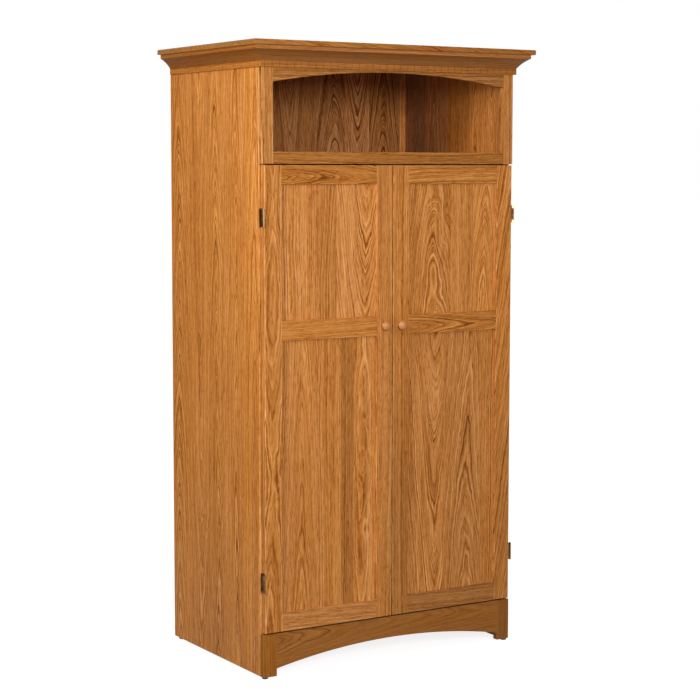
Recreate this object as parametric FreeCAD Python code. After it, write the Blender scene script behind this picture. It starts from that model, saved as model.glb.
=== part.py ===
import FreeCAD, Part
import math
import os

# Computer armoire in solid oak: an open cubby under a moulded crown, a pair of
# panelled doors on barrel hinges, and a fitted computer bay behind them.
# Millimetres. +Z is up, the front faces -Y, and the origin is on the floor at
# the middle of the overall box. Pieces of the right half are drawn at +X and
# those of the left half are their mirror images.

Vector = FreeCAD.Vector
UP = Vector(0, 0, 1)
BACKWARD = Vector(0, 1, 0)
FORWARD = Vector(0, -1, 0)

# Overall size
height = 1829.0
case_width = 876.0
case_depth = 576.0
crown_overhang = 49.0

# Stock
board = 19.0
dado_depth = 6.0
edge_round = 1.5
arris_round = 0.8

# Front-to-back planes
face_y = crown_overhang / 2 - case_depth / 2
carcass_y = face_y + board
back_y = face_y + case_depth
back_panel_thickness = 6.5
back_panel_inset = 6.0
back_inner_y = back_y - back_panel_inset - back_panel_thickness
back_rabbet_depth = 10.0

# Side-to-side planes
outer_x = case_width / 2
inner_x = outer_x - board

# Feet, base and fixed panels: heights of their top faces
glide_height = 6.0
glide_radius = 9.0
glide_round = 1.0
glide_side_inset = 11.0
glide_front_inset = 11.5
glide_back_inset = 30.0
base_top = 131.0
tower_shelf_top = 579.0
desk_shelf_top = 734.0
cubby_floor_top = 1518.0
shelf_setback = 20.0
desk_setback = 200.0

# Arch under the base rail
base_foot_width = 44.0
base_arch_spring = 28.0
base_arch_crown = 68.0

# Face frame round the cubby
frame_bottom = 1484.0
frame_stile_width = 36.0
top_rail_arch_spring = 1714.5
top_rail_arch_crown = 1749.5

# Crown
crown_thickness = 15.0
crown_back_gap = 12.0
crown_top_round = 3.0
crown_bottom_round = 2.0
crown_bottom = height - crown_thickness
cove_bottom = 1772.0
cove_foot_offset = 6.0
cove_lip_offset = 38.5
cove_lip_bottom = 1803.0
cove_hollow = 3.0
dentil_bottom = 1755.5
dentil_offset = 7.0
kerf_pitch = 24.0
kerf_width = 1.2
kerf_depth = 1.8
kerf_corner_gap = 13.0

# Doors
door_thickness = 19.0
door_proud = 4.0
door_edge_inset = 5.4
door_centre_gap = 3.0
door_bottom = 135.5
door_top = 1480.5
stile_width = 54.5
bottom_rail_width = 55.0
mid_rail_bottom = 980.5
mid_rail_width = 57.5
groove_width = 6.4
groove_depth = 10.0
panel_float = 1.0

door_front_y = face_y - door_proud
door_back_y = door_front_y + door_thickness
door_mid_y = (door_front_y + door_back_y) / 2
door_outer_x = outer_x - door_edge_inset
door_inner_x = door_centre_gap / 2
mid_rail_top = mid_rail_bottom + mid_rail_width
top_rail_bottom = door_top - stile_width
bottom_rail_top = door_bottom + bottom_rail_width

# Knob: radius against distance from the door face
knob_x = door_inner_x + stile_width / 2
knob_z = mid_rail_bottom + mid_rail_width / 2
knob_base_radius = 9.0
knob_neck_radius = 7.8
knob_shoulder_radius = 10.0
knob_cheek_radius = 13.3
knob_rim_radius = 14.5
knob_base_depth = 1.2
knob_neck_depth = 4.0
knob_shoulder_depth = 7.0
knob_cheek_depth = 8.6
knob_rim_depth = 11.0
knob_depth = 20.5
knob_screw_radius = 2.0
knob_screw_reach = 12.0
knob_screw_head_radius = 4.2
knob_screw_head_height = 2.2

# Hinges
hinge_end_distance = 148.0
hinge_height = 51.5
hinge_axis_x = outer_x + 0.5
hinge_axis_y = door_front_y
knuckle_radius = 4.0
knuckle_count = 5
knuckle_gap = 0.3
knuckle_notch_radius = 5.0
leaf_thickness = 1.6
leaf_play = 0.2
case_wing_width = 16.0
door_wing_width = 19.0
hinge_pin_radius = 1.5
hinge_pin_clearance = 0.05
hinge_pin_head_radius = 2.6
hinge_pin_head_height = 1.2
hinge_screw_spacing = 30.0
hinge_screw_radius = 1.9
hinge_screw_head_radius = 3.5
hinge_screw_length = 15.0

# Magnetic catches and their strike plates
catch_first_x = 8.0
catch_last_x = 52.0
catch_nose_margin = 6.0
catch_depth = 22.0
catch_bottom = 1464.0
catch_nose_bottom = 1466.0
catch_nose_top = 1478.0
catch_nose_depth = 2.0
strike_thickness = 1.0
strike_screw_radius = 1.5
strike_screw_length = 10.0

# Adjustable shelves on pins
upper_shelf_bottom = 1225.0
lower_shelf_bottom = 330.0
pin_radius = 2.5
pin_reach = 10.0
pin_row_pitch = 32.0
pin_row_front_y = carcass_y + 45.0
pin_row_back_y = back_inner_y - 50.0
upper_row_steps = range(-5, 6)
lower_row_steps = range(-3, 4)
shelf_end_gap = 1.0

# Lower divider between the wide bay and the tower bay
divider_left_x = 140.0

# Keyboard tray on plain channel runners
tray_top = 649.0
tray_depth = 300.0
tray_side_gap = 12.7
tray_lip_bottom = 615.0
tray_lip_top = 656.0
channel_height = 27.0
channel_depth = 9.5
channel_wall = 1.5
channel_length = 500.0
channel_front_gap = 2.5
runner_play = 0.5
runner_depth = 8.7

# Cable ports through the back panel
port_radius = 30.0
port_flange_radius = 35.0
port_flange_thickness = 2.0
port_ring_wall = 3.0
port_centres = ((-250.0, 900.0), (290.0, 260.0))

# Base blocks
corner_block_size = 30.0
corner_block_bottom = 40.0
back_rail_bottom = 30.0

nodes = {}


def block(x_range, y_range, z_range):
    """A square-edged board between two values on each axis."""
    low = Vector(x_range[0], y_range[0], z_range[0])
    high = Vector(x_range[1], y_range[1], z_range[1])
    size = high - low
    return Part.makeBox(size.x, size.y, size.z, low)


def rod(radius, length, foot, direction):
    """A round bar from its foot point along a direction."""
    return Part.makeCylinder(radius, length, foot, direction)


def near(a, b):
    return abs(a - b) < 0.01


def ease(shape, radius, chosen):
    """Rounds the edges whose middle passes the test."""
    return shape.makeFillet(radius, [e for e in shape.Edges if chosen(e.CenterOfMass)])


def mirrored(shape):
    """The left-hand twin of a right-hand piece."""
    return shape.mirror(Vector(0, 0, 0), Vector(1, 0, 0))


def group(solids):
    return Part.makeCompound(solids)


def pair(name, shape):
    """Adds a right-hand piece and its left-hand twin."""
    nodes[name + "_right"] = shape
    nodes[name + "_left"] = mirrored(shape)


def arch_cutter(half_span, floor_z, spring_z, crown_z):
    """The space under an arc that springs from two jambs, through the face frame."""
    left_foot = Vector(-half_span, face_y, floor_z)
    left_spring = Vector(-half_span, face_y, spring_z)
    crown = Vector(0, face_y, crown_z)
    right_spring = Vector(half_span, face_y, spring_z)
    right_foot = Vector(half_span, face_y, floor_z)
    outline = Part.Wire(
        [
            Part.makeLine(left_foot, left_spring),
            Part.Arc(left_spring, crown, right_spring).toShape(),
            Part.makeLine(right_spring, right_foot),
            Part.makeLine(right_foot, left_foot),
        ]
    )
    return Part.Face(outline).extrude(BACKWARD * board)


# ---------------------------------------------------------------- fixed panels


def fixed_panel(top, front_y):
    """A full-width panel housed in a dado in each side."""
    half = inner_x + dado_depth
    return block((-half, half), (front_y, back_inner_y), (top - board, top))


fixed_panels = {
    "case_bottom": fixed_panel(base_top, carcass_y),
    "tower_shelf": fixed_panel(tower_shelf_top, carcass_y + shelf_setback),
    "desk_shelf": fixed_panel(desk_shelf_top, carcass_y + desk_setback),
    "cubby_floor": fixed_panel(cubby_floor_top, carcass_y),
    "case_top": fixed_panel(crown_bottom, carcass_y),
}
nodes.update(fixed_panels)


# ------------------------------------------------------- shelf pins and holes


def pin_row(first_z, steps, face_x, into):
    """Pins of two vertical rows, from a face into its board. into is +1 or -1 along X."""
    found = []
    for y in (pin_row_front_y, pin_row_back_y):
        for step in steps:
            foot = Vector(face_x, y, first_z + step * pin_row_pitch)
            found.append(rod(pin_radius, pin_reach, foot, Vector(into, 0, 0)))
    return found


def shelf_pins(pin_z, left_face_x, right_face_x):
    """Four pins that stand out of two facing boards under a shelf."""
    found = []
    for y in (pin_row_front_y, pin_row_back_y):
        left = Vector(left_face_x - pin_reach, y, pin_z)
        right = Vector(right_face_x - pin_reach, y, pin_z)
        found.append(rod(pin_radius, 2 * pin_reach, left, Vector(1, 0, 0)))
        found.append(rod(pin_radius, 2 * pin_reach, right, Vector(1, 0, 0)))
    return found


upper_pin_z = upper_shelf_bottom - pin_radius
lower_pin_z = lower_shelf_bottom - pin_radius
nodes["shelf_pins"] = group(
    shelf_pins(upper_pin_z, -inner_x, inner_x)
    + shelf_pins(lower_pin_z, -inner_x, divider_left_x)
)


def loose_shelf(left_x, right_x, bottom):
    """A shelf that lies on its pins with a little room at each end."""
    return block(
        (left_x + shelf_end_gap, right_x - shelf_end_gap),
        (carcass_y + shelf_setback, back_inner_y - shelf_end_gap),
        (bottom, bottom + board),
    )


nodes["upper_shelf"] = loose_shelf(-inner_x, inner_x, upper_shelf_bottom)
nodes["lower_shelf"] = loose_shelf(-inner_x, divider_left_x, lower_shelf_bottom)

divider = block(
    (divider_left_x, divider_left_x + board),
    (carcass_y + shelf_setback, back_inner_y),
    (base_top, tower_shelf_top - board),
)
nodes["lower_divider"] = divider.cut(
    group(pin_row(lower_pin_z, lower_row_steps, divider_left_x, 1))
)


# -------------------------------------------------------------------- screws


def flush_screw(head_point, direction):
    """A countersunk screw whose flat head starts at head_point."""
    head = Part.makeCone(
        hinge_screw_head_radius, hinge_screw_radius, leaf_thickness, head_point, direction
    )
    shank = rod(hinge_screw_radius, hinge_screw_length, head_point, direction)
    return head.fuse(shank).removeSplitter()


# -------------------------------------------------------------------- hinges

hinge_centres = (door_bottom + hinge_end_distance, door_top - hinge_end_distance)
knuckle_height = (hinge_height - (knuckle_count - 1) * knuckle_gap) / knuckle_count
door_leaf_x = door_outer_x + leaf_thickness
case_leaf_x = door_leaf_x + leaf_play
case_wing_y = carcass_y - leaf_thickness
door_wing_y = door_back_y + leaf_thickness


def knuckle_span(centre_z, index):
    low = centre_z - hinge_height / 2 + index * (knuckle_height + knuckle_gap)
    return low, low + knuckle_height


def knuckles(centre_z, indexes, radius, extra=0.0):
    """Barrel sections at the given places, each longer by extra at both ends."""
    found = []
    for index in indexes:
        low, high = knuckle_span(centre_z, index)
        foot = Vector(hinge_axis_x, hinge_axis_y, low - extra)
        found.append(rod(radius, high - low + 2 * extra, foot, UP))
    return found


case_knuckles = range(0, knuckle_count, 2)
door_knuckles = range(1, knuckle_count, 2)


def hinge_screws(centre_z, x, y, direction):
    """The two screws of one leaf."""
    places = (centre_z - hinge_screw_spacing / 2, centre_z + hinge_screw_spacing / 2)
    return [flush_screw(Vector(x, y, z), direction) for z in places]


case_screw_x = inner_x + board / 2
door_screw_x = door_leaf_x - door_wing_width / 2
case_screws = []
door_screws = []
for hinge_z in hinge_centres:
    case_screws += hinge_screws(hinge_z, case_screw_x, case_wing_y, BACKWARD)
    door_screws += hinge_screws(hinge_z, door_screw_x, door_wing_y, FORWARD)


def case_leaf(centre_z):
    """Leaf on the side panel: barrel, strip beside the door edge, wing on the front edge."""
    z_range = (centre_z - hinge_height / 2, centre_z + hinge_height / 2)
    outer_face = case_leaf_x + leaf_thickness
    strip = block((case_leaf_x, outer_face), (hinge_axis_y, carcass_y), z_range)
    wing = block((outer_face - case_wing_width, outer_face), (case_wing_y, carcass_y), z_range)
    notches = knuckles(centre_z, door_knuckles, knuckle_notch_radius, knuckle_gap)
    leaf = strip.fuse(wing).cut(group(notches))
    leaf = leaf.fuse(knuckles(centre_z, case_knuckles, knuckle_radius))
    bore = rod(
        hinge_pin_radius, hinge_height, Vector(hinge_axis_x, hinge_axis_y, z_range[0]), UP
    )
    return leaf.cut(bore).cut(group(case_screws)).removeSplitter()


def door_leaf(centre_z):
    """Leaf on the door: barrel, strip on the door edge, wing behind the hinge stile."""
    z_range = (centre_z - hinge_height / 2, centre_z + hinge_height / 2)
    strip = block((door_outer_x, door_leaf_x), (hinge_axis_y, door_wing_y), z_range)
    wing = block((door_leaf_x - door_wing_width, door_leaf_x), (door_back_y, door_wing_y), z_range)
    leaf = strip.fuse(wing).fuse(knuckles(centre_z, door_knuckles, knuckle_radius))
    for index in door_knuckles:
        web_x = (door_outer_x, hinge_axis_x - knuckle_radius / 2)
        web_y = (hinge_axis_y, hinge_axis_y + leaf_thickness)
        leaf = leaf.fuse(block(web_x, web_y, knuckle_span(centre_z, index)))
    bore = rod(
        hinge_pin_radius + hinge_pin_clearance,
        hinge_height,
        Vector(hinge_axis_x, hinge_axis_y, z_range[0]),
        UP,
    )
    return leaf.cut(bore).cut(group(door_screws)).removeSplitter()


def hinge_pin(centre_z):
    """A pin with a low round head at each end of the barrel."""
    foot = Vector(hinge_axis_x, hinge_axis_y, centre_z - hinge_height / 2)
    top = foot + UP * hinge_height
    pin = rod(hinge_pin_radius, hinge_height, foot, UP)
    pin = pin.fuse(rod(hinge_pin_head_radius, hinge_pin_head_height, top, UP))
    pin = pin.fuse(rod(hinge_pin_head_radius, hinge_pin_head_height, foot, UP * -1))
    return pin.removeSplitter()


pair("hinge_case_leaves", group([case_leaf(z) for z in hinge_centres]))
pair("hinge_door_leaves", group([door_leaf(z) for z in hinge_centres]))
right_pins = group([hinge_pin(z) for z in hinge_centres])
nodes["hinge_pins"] = group([right_pins, mirrored(right_pins)])
right_case_screws = group(case_screws)
nodes["hinge_case_screws"] = group([right_case_screws, mirrored(right_case_screws)])


# --------------------------------------------------------------- side panels


def side_panel():
    """The right side: dados for the fixed panels, a rabbet for the back, rows of pin holes."""
    side = block((inner_x, outer_x), (carcass_y, back_y), (glide_height, crown_bottom))
    rabbet = block(
        (inner_x, inner_x + back_rabbet_depth),
        (back_inner_y, back_y),
        (glide_height, crown_bottom),
    )
    side = ease(side, edge_round, lambda p: near(p.x, outer_x) and near(p.y, back_y))
    return side.cut(group([rabbet] + list(fixed_panels.values()))).cut(group(case_screws))


upper_holes = pin_row(upper_pin_z, upper_row_steps, inner_x, 1)
lower_holes = pin_row(lower_pin_z, lower_row_steps, inner_x, 1)
plain_side = side_panel().cut(group(upper_holes))
nodes["side_panel_right"] = plain_side
nodes["side_panel_left"] = mirrored(plain_side.cut(group(lower_holes)))


# ---------------------------------------------------------------- back panel


def cable_ring(x, z):
    """A moulded liner: a flange inside the case and a sleeve through the back panel."""
    flange_foot = Vector(x, back_inner_y - port_flange_thickness, z)
    sleeve_foot = Vector(x, back_inner_y, z)
    depth = port_flange_thickness + back_panel_thickness
    ring = rod(port_flange_radius, port_flange_thickness, flange_foot, BACKWARD)
    ring = ring.fuse(rod(port_radius, back_panel_thickness, sleeve_foot, BACKWARD))
    return ring.cut(rod(port_radius - port_ring_wall, depth, flange_foot, BACKWARD))


back_half = inner_x + back_rabbet_depth
back_panel = block(
    (-back_half, back_half),
    (back_inner_y, back_inner_y + back_panel_thickness),
    (base_top - board, crown_bottom),
)
port_holes = [
    rod(port_radius, back_panel_thickness, Vector(x, back_inner_y, z), BACKWARD)
    for x, z in port_centres
]
nodes["back_panel"] = back_panel.cut(group(port_holes))
nodes["cable_grommets"] = group([cable_ring(x, z) for x, z in port_centres])


# ---------------------------------------------------------------------- base


def base_foot():
    """A short upright under the door, eased at the corner and along its top edge."""
    foot = block((base_inner_x, outer_x), (face_y, carcass_y), (glide_height, base_top))
    foot = ease(foot, edge_round, lambda p: near(p.y, face_y) and near(p.x, outer_x))
    return ease(foot, edge_round, lambda p: near(p.y, face_y) and near(p.z, base_top))


def base_rail():
    """The arched rail of the base, butted between its two feet."""
    arch = arch_cutter(base_inner_x, glide_height, base_arch_spring, base_arch_crown)
    rail = block(
        (-base_inner_x, base_inner_x), (face_y, carcass_y), (base_arch_spring, base_top)
    )
    return ease(rail, edge_round, lambda p: near(p.y, face_y) and near(p.z, base_top)).cut(arch)


base_inner_x = outer_x - base_foot_width
pair("base_foot", base_foot())
nodes["base_rail"] = base_rail()
nodes["base_back_rail"] = block(
    (-inner_x, inner_x), (back_inner_y - board, back_inner_y), (back_rail_bottom, base_top - board)
)


def corner_block(front_y):
    return block(
        (inner_x - corner_block_size, inner_x),
        (front_y, front_y + corner_block_size),
        (corner_block_bottom, base_top - board),
    )


def glide(y):
    """A nailed-on foot glide with a rounded rim."""
    foot = Vector(outer_x - glide_side_inset, y, 0)
    disc = rod(glide_radius, glide_height, foot, UP)
    return ease(disc, glide_round, lambda p: near(p.z, 0))


right_blocks = group(
    [corner_block(carcass_y), corner_block(back_inner_y - board - corner_block_size)]
)
nodes["corner_blocks"] = group([right_blocks, mirrored(right_blocks)])
right_glides = group([glide(face_y + glide_front_inset), glide(back_y - glide_back_inset)])
nodes["glides"] = group([right_glides, mirrored(right_glides)])


# ---------------------------------------------------------------- face frame

frame_inner_x = outer_x - frame_stile_width
frame_stile = block((frame_inner_x, outer_x), (face_y, carcass_y), (frame_bottom, crown_bottom))
frame_stile = ease(frame_stile, edge_round, lambda p: near(p.x, outer_x) and near(p.y, face_y))
pair("frame_stile", frame_stile)


def frame_top_rail():
    """The rail over the cubby, with a shallow arch along its lower edge."""
    rail = block(
        (-frame_inner_x, frame_inner_x), (face_y, carcass_y), (cubby_floor_top, crown_bottom)
    )
    arch = arch_cutter(
        frame_inner_x, cubby_floor_top, top_rail_arch_spring, top_rail_arch_crown
    )
    return rail.cut(arch)


def frame_lower_rail():
    rail = block(
        (-frame_inner_x, frame_inner_x), (face_y, carcass_y), (frame_bottom, cubby_floor_top)
    )
    return ease(rail, arris_round, lambda p: near(p.y, face_y) and near(p.x, 0))


nodes["frame_lower_rail"] = frame_lower_rail()
nodes["frame_top_rail"] = frame_top_rail()


# --------------------------------------------------------------------- crown

crown_back_y = back_y - crown_back_gap


def mitre_front(reach):
    """Plan space of a front moulding, bounded by the 45 degree mitres."""
    plan = [
        Vector(-outer_x, face_y, dentil_bottom),
        Vector(outer_x, face_y, dentil_bottom),
        Vector(outer_x + reach, face_y - reach, dentil_bottom),
        Vector(-outer_x - reach, face_y - reach, dentil_bottom),
    ]
    return Part.Face(Part.makePolygon(plan + plan[:1])).extrude(UP * (height - dentil_bottom))


def mitre_side(reach):
    """Plan space of the right-hand moulding, from its mitre to the back."""
    plan = [
        Vector(outer_x, face_y, dentil_bottom),
        Vector(outer_x + reach, face_y - reach, dentil_bottom),
        Vector(outer_x + reach, crown_back_y, dentil_bottom),
        Vector(outer_x, crown_back_y, dentil_bottom),
    ]
    return Part.Face(Part.makePolygon(plan + plan[:1])).extrude(UP * (height - dentil_bottom))


def cove_face(place):
    """The cove's cross section: place(offset, z) gives a point off the case face."""
    run, rise = cove_lip_offset - cove_foot_offset, cove_lip_bottom - cove_bottom
    chord = math.hypot(run, rise)
    foot = place(cove_foot_offset, cove_bottom)
    middle = place(
        cove_foot_offset + run / 2 - cove_hollow * rise / chord,
        cove_bottom + rise / 2 + cove_hollow * run / chord,
    )
    lip = place(cove_lip_offset, cove_lip_bottom)
    lip_top = place(cove_lip_offset, crown_bottom)
    inner_top = place(0, crown_bottom)
    inner_bottom = place(0, cove_bottom)
    return Part.Face(
        Part.Wire(
            [
                Part.makeLine(inner_bottom, foot),
                Part.Arc(foot, middle, lip).toShape(),
                Part.makeLine(lip, lip_top),
                Part.makeLine(lip_top, inner_top),
                Part.makeLine(inner_top, inner_bottom),
            ]
        )
    )


mitre_reach = cove_lip_offset + 1.0
crown_half = outer_x + crown_overhang
front_cove = cove_face(lambda offset, z: Vector(-crown_half, face_y - offset, z))
front_cove = front_cove.extrude(Vector(2 * crown_half, 0, 0))
nodes["crown_cove_front"] = front_cove.common(mitre_front(mitre_reach))
side_cove = cove_face(lambda offset, z: Vector(outer_x + offset, face_y - crown_overhang, z))
side_cove = side_cove.extrude(BACKWARD * (crown_back_y - face_y + crown_overhang))
pair("crown_cove", side_cove.common(mitre_side(mitre_reach)))


def kerfed_front():
    """The front dentil strip: a flat strip with narrow upright saw kerfs."""
    z_range = (dentil_bottom, cove_bottom)
    strip = mitre_front(dentil_offset).common(
        block((-crown_half, crown_half), (face_y - crown_overhang, face_y), z_range)
    )
    last = math.floor((outer_x + dentil_offset - kerf_corner_gap) / kerf_pitch)
    kerf_y = (face_y - dentil_offset, face_y - dentil_offset + kerf_depth)
    kerfs = []
    for step in range(-last, last + 1):
        x = step * kerf_pitch
        kerfs.append(block((x - kerf_width / 2, x + kerf_width / 2), kerf_y, z_range))
    return strip.cut(group(kerfs))


def kerfed_side():
    z_range = (dentil_bottom, cove_bottom)
    strip = mitre_side(dentil_offset).common(
        block((outer_x, crown_half), (face_y - crown_overhang, crown_back_y), z_range)
    )
    kerf_x = (outer_x + dentil_offset - kerf_depth, outer_x + dentil_offset)
    first_y = face_y - dentil_offset + kerf_corner_gap
    count = math.floor((crown_back_y - first_y) / kerf_pitch) + 1
    kerfs = []
    for step in range(count):
        y = first_y + step * kerf_pitch
        kerfs.append(block(kerf_x, (y - kerf_width / 2, y + kerf_width / 2), z_range))
    return strip.cut(group(kerfs))


nodes["dentil_strip_front"] = kerfed_front()
pair("dentil_strip", kerfed_side())


def crown_board():
    """The flat top board, eased along its front and both ends."""
    front_y = face_y - crown_overhang
    top = block((-crown_half, crown_half), (front_y, crown_back_y), (crown_bottom, height))

    def on_rim(p):
        return near(abs(p.x), crown_half) or near(p.y, front_y)

    top = ease(top, crown_top_round, lambda p: near(p.z, height) and on_rim(p))
    return ease(top, crown_bottom_round, lambda p: near(p.z, crown_bottom) and on_rim(p))


nodes["crown_board"] = crown_board()


# --------------------------------------------------------------------- doors

groove_y = (door_mid_y - groove_width / 2, door_mid_y + groove_width / 2)
rail_left_x = door_inner_x + stile_width
rail_right_x = door_outer_x - stile_width
door_y = (door_front_y, door_back_y)


def door_stile(x_range, groove_x):
    """An upright with a full-length groove for the tenons and panels."""
    stile = block(x_range, door_y, (door_bottom, door_top))
    outside_x = door_inner_x if x_range[0] == door_inner_x else door_outer_x

    def on_rim(p):
        return near(p.x, outside_x) or near(p.z, door_bottom) or near(p.z, door_top)

    stile = ease(stile, edge_round, lambda p: near(p.y, door_front_y) and on_rim(p))
    return stile.cut(block(groove_x, groove_y, (door_bottom, door_top)))


def door_rail(z_range, groove_ranges, rim_z=None):
    """A crosspiece with a stub tenon at each end and a groove on each panel side."""
    rail = block((rail_left_x, rail_right_x), door_y, z_range)
    if rim_z is not None:
        rail = ease(rail, edge_round, lambda p: near(p.y, door_front_y) and near(p.z, rim_z))
    tenons = block((rail_left_x - groove_depth, rail_right_x + groove_depth), groove_y, z_range)
    rail = rail.fuse(tenons)
    for groove_z in groove_ranges:
        groove_x = (rail_left_x - groove_depth, rail_right_x + groove_depth)
        rail = rail.cut(block(groove_x, groove_y, groove_z))
    return rail.removeSplitter()


def door_panel(opening_bottom, opening_top):
    """A flat panel that floats in the grooves round its opening."""
    hidden = groove_depth - panel_float
    return block(
        (rail_left_x - hidden, rail_right_x + hidden),
        groove_y,
        (opening_bottom - hidden, opening_top + hidden),
    )


knob_screw_foot = Vector(knob_x, door_back_y, knob_z)
knob_screw_length = door_thickness + knob_screw_reach
knob_shank = rod(knob_screw_radius, knob_screw_length, knob_screw_foot, FORWARD)
strike_x = (catch_first_x + catch_nose_margin, catch_last_x - catch_nose_margin)
strike_z = (catch_nose_bottom, catch_nose_top)
strike_centre = Vector(
    sum(strike_x) / 2, door_back_y + strike_thickness, sum(strike_z) / 2
)
strike_screw = rod(strike_screw_radius, strike_screw_length, strike_centre, FORWARD)


def knob():
    """A turned knob: base ring, waist, and a mushroom head with a spherical dome."""
    dome_rise = knob_depth - knob_rim_depth
    dome_radius = (knob_rim_radius**2 + dome_rise**2) / (2 * dome_rise)
    brow_angle = math.asin(knob_rim_radius / dome_radius) / 2
    brow_radius = dome_radius * math.sin(brow_angle)
    brow_depth = knob_depth - dome_radius * (1 - math.cos(brow_angle))
    profile = [
        (0, 0),
        (knob_base_radius, 0),
        (knob_base_radius, knob_base_depth),
        (knob_neck_radius, knob_neck_depth),
        (knob_shoulder_radius, knob_shoulder_depth),
        (knob_cheek_radius, knob_cheek_depth),
        (knob_rim_radius, knob_rim_depth),
        (brow_radius, brow_depth),
        (0, knob_depth),
    ]
    points = [Vector(knob_x + r, door_front_y - d, knob_z) for r, d in profile]
    centre, foot, ring, neck, shoulder, cheek, rim, brow, tip = points
    outline = Part.Wire(
        [
            Part.makeLine(centre, foot),
            Part.makeLine(foot, ring),
            Part.Arc(ring, neck, shoulder).toShape(),
            Part.Arc(shoulder, cheek, rim).toShape(),
            Part.Arc(rim, brow, tip).toShape(),
            Part.makeLine(tip, centre),
        ]
    )
    turned = Part.Face(outline).revolve(centre, FORWARD, 360)
    return turned.cut(knob_shank)


hinge_stile = door_stile(
    (rail_right_x, door_outer_x), (rail_right_x, rail_right_x + groove_depth)
)
meeting_stile = door_stile(
    (door_inner_x, rail_left_x), (rail_left_x - groove_depth, rail_left_x)
)
pair("door_hinge_stile", hinge_stile.cut(group(door_screws)))
pair("door_meeting_stile", meeting_stile.cut(group([knob_shank, strike_screw])))
pair(
    "door_top_rail",
    door_rail(
        (top_rail_bottom, door_top), [(top_rail_bottom, top_rail_bottom + groove_depth)], door_top
    ),
)
pair(
    "door_mid_rail",
    door_rail(
        (mid_rail_bottom, mid_rail_top),
        [
            (mid_rail_bottom, mid_rail_bottom + groove_depth),
            (mid_rail_top - groove_depth, mid_rail_top),
        ],
    ),
)
pair(
    "door_bottom_rail",
    door_rail(
        (door_bottom, bottom_rail_top),
        [(bottom_rail_top - groove_depth, bottom_rail_top)],
        door_bottom,
    ),
)
pair("door_upper_panel", door_panel(mid_rail_top, top_rail_bottom))
pair("door_lower_panel", door_panel(bottom_rail_top, mid_rail_bottom))
pair("door_knob", knob())

strike_plate = block(strike_x, (door_back_y, door_back_y + strike_thickness), strike_z)
pair("strike_plate", strike_plate.cut(strike_screw))
knob_screw_head = rod(
    knob_screw_head_radius, knob_screw_head_height, knob_screw_foot, BACKWARD
)
knob_screw = knob_shank.fuse(knob_screw_head).removeSplitter()
pair("door_screws", group(door_screws + [knob_screw, strike_screw]))


# ------------------------------------------------------------------- catches


def magnetic_catch():
    """A catch hung under the cubby floor, its magnet just behind the strike plate."""
    body_x = (catch_first_x, catch_last_x)
    body_y = (carcass_y, carcass_y + catch_depth)
    body = block(body_x, body_y, (catch_bottom, cubby_floor_top - board))
    nose = block(strike_x, (carcass_y - catch_nose_depth, carcass_y), strike_z)
    return body.fuse(nose).removeSplitter()


right_catch = magnetic_catch()
nodes["magnetic_catches"] = group([right_catch, mirrored(right_catch)])


# ------------------------------------------------------------- keyboard tray

tray_half = inner_x - tray_side_gap
tray_front_y = carcass_y + desk_setback
tray_back_y = tray_front_y + tray_depth
channel_centre_z = tray_top - board / 2
nodes["keyboard_tray"] = block(
    (-tray_half, tray_half), (tray_front_y + board, tray_back_y), (tray_top - board, tray_top)
)
tray_lip = block(
    (-tray_half, tray_half), (tray_front_y, tray_front_y + board), (tray_lip_bottom, tray_lip_top)
)
nodes["tray_lip"] = ease(tray_lip, edge_round, lambda p: near(p.y, tray_front_y))


def channel(back_x, mouth_x, y_range, half_height, wall):
    """A C-shaped track: an upright web at back_x and two flanges to mouth_x."""
    web_side = 1 if back_x > mouth_x else -1
    low, high = channel_centre_z - half_height, channel_centre_z + half_height
    web_x = sorted((back_x, back_x - web_side * wall))
    flange_x = sorted((back_x, mouth_x))
    web = block(web_x, y_range, (low, high))
    lower = block(flange_x, y_range, (low, low + wall))
    upper = block(flange_x, y_range, (high - wall, high))
    return web.fuse([lower, upper]).removeSplitter()


channel_front_y = carcass_y + channel_front_gap
track = channel(
    inner_x,
    inner_x - channel_depth,
    (channel_front_y, channel_front_y + channel_length),
    channel_height / 2,
    channel_wall,
)
runner = channel(
    tray_half,
    tray_half + runner_depth,
    (tray_front_y + board, tray_back_y),
    channel_height / 2 - channel_wall - runner_play,
    channel_wall,
)
nodes["tray_channels"] = group([track, mirrored(track)])
nodes["tray_runners"] = group([runner, mirrored(runner)])


# -------------------------------------------------------------------- output

os.makedirs("parts", exist_ok=True)
for name, shape in nodes.items():
    shape.exportStep(os.path.join("parts", name + ".step"))
print(len(nodes), "nodes")
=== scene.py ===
import math

import bpy
from mathutils import Matrix, Vector


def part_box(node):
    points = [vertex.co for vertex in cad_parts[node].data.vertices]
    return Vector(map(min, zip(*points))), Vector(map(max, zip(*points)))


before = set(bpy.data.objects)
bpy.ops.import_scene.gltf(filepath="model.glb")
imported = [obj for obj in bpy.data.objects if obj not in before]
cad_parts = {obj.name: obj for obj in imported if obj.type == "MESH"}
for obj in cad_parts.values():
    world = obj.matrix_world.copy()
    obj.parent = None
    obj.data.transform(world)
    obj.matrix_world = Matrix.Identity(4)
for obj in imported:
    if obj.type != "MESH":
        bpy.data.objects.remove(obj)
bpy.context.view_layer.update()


# ---------------------------------------------------------------- feet of the base
# Two short uprights under the doors, sawn from red oak with the grain upright and glued to the
# front edges of the sides. Like all the oak of the case they are stained and sprayed with satin
# lacquer, and their edges are eased with sandpaper.


def node(tree, kind, inlets, outlet=0, **settings):
    """Adds a node, sets it, feeds its inlets with values or links, and gives back one outlet."""
    made = tree.nodes.new("ShaderNode" + kind)
    for name, value in settings.items():
        setattr(made, name, value)
    for name, value in inlets.items():
        if isinstance(value, bpy.types.NodeSocket):
            tree.links.new(value, made.inputs[name])
        else:
            made.inputs[name].default_value = value
    return made.outputs[outlet]


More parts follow.
